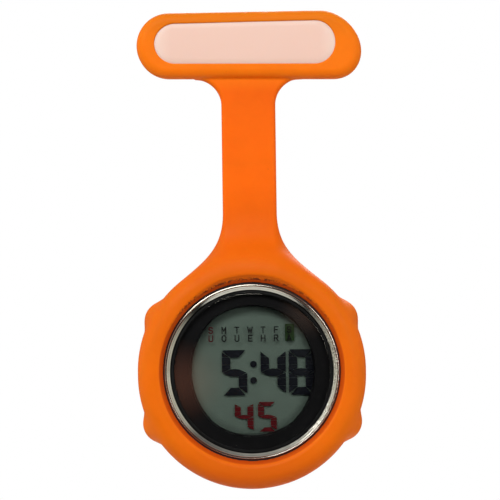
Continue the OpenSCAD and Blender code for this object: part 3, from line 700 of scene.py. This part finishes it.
finish_nodes(plain("segment_navy", (16, 18, 34), 0.4, 0.2, 600), "time_segments")
finish_nodes(plain("segment_red", (128, 8, 24), 0.4, 0.15, 600), "seconds_segments")
finish_nodes(plain("segment_green", (52, 84, 36), 0.4, 0.2, 600), "weekday_marker")
# Black weekday print, dark red in the first column.
black_ink, red_ink = linear((8, 8, 9)), linear((84, 8, 20))
ink = Shader("print_ink", black_ink, 0.6, Specular_IOR_Level=0.2)
column = ink.ramp(ink.scaled(ink.axes()["X"], 50, 0.5), ((0.155, red_ink), (0.165, black_ink)))
uneven = ink.ramp(ink.noise(900, 3), ((0.3, (0.7, 0.7, 0.7, 1)), (0.7, (1.2, 1.2, 1.2, 1))))
ink.link(ink.multiply(column, uneven), ink.bsdf.inputs["Base Color"])
finish_nodes(ink.mat, "weekday_print")

finish_nodes(plain("ring_black", (18, 18, 19), 0.55, 0.2, 700, 0.002, Specular_IOR_Level=0.1),
             "dial_ring")
finish_nodes(plain("case_black", (20, 20, 21), 0.45, 0.15), "case_body", "chip_blob")
finish_nodes(plain("seal_black", (11, 11, 11), 0.75, 0.15, Specular_IOR_Level=0.2),
             "crystal_gasket", "caseback_gasket", "pusher_seals")
finish_nodes(metal("caseback_brushed", (196, 197, 200), 0.3, (1800, 1, 18), 0.01), "caseback")
finish_nodes(metal("brooch_steel", (206, 207, 210), 0.24, (30, 900, 900)),
             "brooch_bar", "brooch_pin", "pin_rivet")
finish_nodes(metal("brass_bright", (214, 178, 104), 0.24),
             "catch_lock", "button_contacts", "battery_contact", "buzzer_disc", "buzzer_spring")
finish_nodes(STEEL, "battery", "battery_clip", "module_screws", "quartz_crystal",
             *[f"pusher_{k}" for k in range(1, 5)], *[f"pusher_clip_{k}" for k in range(1, 5)])
finish_nodes(plain("moulded_white", (222, 222, 216), 0.5, 0.05), "battery_frame")
finish_nodes(plain("moulded_grey", (112, 120, 114), 0.6, 0.08, Specular_IOR_Level=0.1),
             "module_frame")
finish_nodes(plain("board_green", (24, 84, 46), 0.3, 0.15, 400), "circuit_board")
finish_nodes(plain("zebra_grey", (116, 124, 118), 0.7, 0.15, 2000, Specular_IOR_Level=0.1),
             "zebra_connectors")
finish_nodes(plain("ceramic_brown", (146, 112, 78), 0.5), "capacitors")
finish_nodes(plain("led_epoxy", (232, 214, 128), 0.2, 0.05), "backlight_led")

# ---------- what moves with what ----------
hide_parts("t_bar_sleeve", "strap")
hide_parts("watch_pocket")
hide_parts("label_plate")
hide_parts("bezel")
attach(rim, "watch_head")
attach(label, "name_bar")


def at(z):
    """A point in the middle of the strap's thickness."""
    return (0, HINGE_Y * MM, z * MM)


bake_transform(silicone_bar)
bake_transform(silicone_pocket)
for k, angle in enumerate(BUTTON_ANGLES):
    a = math.radians(angle)
    out = (math.cos(a), 0, math.sin(a))
    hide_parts(f"button_dome_{k + 1}")
    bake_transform(plugs[k])
    spring, out, seat = springs[k]
    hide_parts(f"pusher_spring_{k + 1}")
    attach(spring, "watch_head")
    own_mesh(spring)

# ---------- floor, light and camera ----------
floor_mesh = bpy.data.meshes.new("floor")
bm = bmesh.new()
bmesh.ops.create_circle(bm, cap_ends=True, segments=96, radius=0.2)
bm.to_mesh(floor_mesh)
bm.free()
floor = bpy.data.objects.new("floor", floor_mesh)
floor.location = (0, 0.1, -0.2)
bpy.context.scene.collection.objects.link(floor)
floor_mesh.materials.append(plain("floor_pale", (238, 238, 236), 0.7, 0.01, 60))


def area(name, spot, target, size, power):
    """A soft white light that faces target."""
    data = bpy.data.lights.new(name, "AREA")
    data.shape = "ELLIPSE"
    data.size, data.size_y = size
    data.energy = power
    obj = bpy.data.objects.new(name, data)
    obj.location = spot
    obj.rotation_euler = (Vector(target) - Vector(spot)).to_track_quat("-Z", "Y").to_euler()
    bpy.context.scene.collection.objects.link(obj)
    return obj


middle = (0, -0.005, -0.04)
area("key", (-0.18, -0.50, 0.30), middle, (0.6, 0.26), 2.8)
area("fill", (0.34, -0.50, 0.06), middle, (0.3, 0.3), 0.9)
area("rim", (0.10, 0.45, 0.28), middle, (0.35, 0.35), 2.2)

world = bpy.data.worlds.new("studio")
bpy.context.scene.world = world
world.use_nodes = True
tree = world.node_tree


def sky(kind, *inputs, **settings):
    """One node of the world; inputs go to its sockets in order, as links or as values."""
    node = tree.nodes.new(kind)
    for key, value in settings.items():
        setattr(node, key, value)
    for socket, value in zip(node.inputs, inputs):
        if isinstance(value, bpy.types.NodeSocket):
            tree.links.new(value, socket)
        elif value is not None:
            socket.default_value = value
    return node


def sky_ramp(fac, stops):
    node = sky("ShaderNodeValToRGB", fac)
    element = node.color_ramp.elements
    while len(element) < len(stops):
        element.new(0.5)
    for e, (spot, color) in zip(element, stops):
        e.position = spot
        e.color = tuple(color) + (1,)
    return node.outputs["Color"]


def patch(spot, size, color):
    """A soft glow in one direction."""
    apart = sky("ShaderNodeVectorMath", toward, spot, operation="DISTANCE").outputs["Value"]
    return sky_ramp(apart, ((0, color), (size, (0, 0, 0))))


def brighter(light, more):
    return sky("ShaderNodeVectorMath", light, more, operation="ADD").outputs["Vector"]


# The sky: brightest up and to -X, dark round -Y, with bright sides, a low glow in front, and two brownish
# glows that the crystal reflects.
toward = sky("ShaderNodeTexCoord").outputs["Generated"]
upper_left = sky("ShaderNodeVectorMath", toward, (-0.45, 0.0, 0.9), operation="DOT_PRODUCT").outputs["Value"]
height = sky("ShaderNodeMath", upper_left, 0.5, 0.5, operation="MULTIPLY_ADD").outputs[0]
levels = ((0.0, 0.03), (0.4, 0.08), (0.7, 0.22), (1.0, 0.5))
dome = sky_ramp(height, [(spot, (level,) * 3) for spot, level in levels])
frontal = sky("ShaderNodeVectorMath", toward, (0, -1, 0), operation="DOT_PRODUCT").outputs["Value"]
shade = sky_ramp(frontal, ((0.90, (1, 1, 1)), (0.985, (0.05, 0.05, 0.05))))
lit = sky("ShaderNodeVectorMath", dome, shade, operation="MULTIPLY").outputs["Vector"]
across = sky("ShaderNodeVectorMath", toward, (1, 0, 0), operation="DOT_PRODUCT").outputs["Value"]
across = sky("ShaderNodeMath", across, operation="ABSOLUTE").outputs[0]
sides = sky_ramp(across, ((0.6, (0, 0, 0)), (0.85, (0.7, 0.68, 0.6))))
lit = brighter(lit, sides)
lit = brighter(lit, patch((0, -0.5, -0.866), 0.45, (0.42, 0.41, 0.37)))
lit = brighter(lit, patch((-0.037, -1, -0.070), 0.022, (1.0, 0.38, 0.22)))
lit = brighter(lit, patch((0.030, -1, -0.033), 0.014, (0.6, 0.38, 0.28)))
back = tree.nodes["Background"]
tree.links.new(lit, back.inputs["Color"])
back.inputs["Strength"].default_value = 1.0
# Seen directly, the background is white.
seen = sky("ShaderNodeBackground", (1, 1, 1, 1), 1.0)
path = sky("ShaderNodeLightPath")
mix = sky("ShaderNodeMixShader", path.outputs["Is Camera Ray"], back.outputs[0], seen.outputs[0])
tree.links.new(mix.outputs[0], tree.nodes["World Output"].inputs["Surface"])

bpy.context.scene.view_settings.view_transform = "Standard"
# The display lies under several clear sheets.
bpy.context.scene.cycles.transparent_max_bounces = 48

# Camera: level, from the front, rolled ROLL degrees, with SEEN millimetres across the picture at y = -6 mm.
SEEN, ROLL, LENS, SENSOR = 91.4, 0.78, 135, 36
camera_data = bpy.data.cameras.new("camera")
camera_data.lens = LENS
camera_data.sensor_width = SENSOR
distance = SEEN / 2 * MM / (SENSOR / 2 / LENS)
camera = bpy.data.objects.new("camera", camera_data)
camera.location = (-0.05 * MM, -0.006 - distance, -37.4 * MM)
camera.rotation_euler = (math.radians(90), math.radians(ROLL), 0)
bpy.context.scene.collection.objects.link(camera)
bpy.context.scene.camera = camera
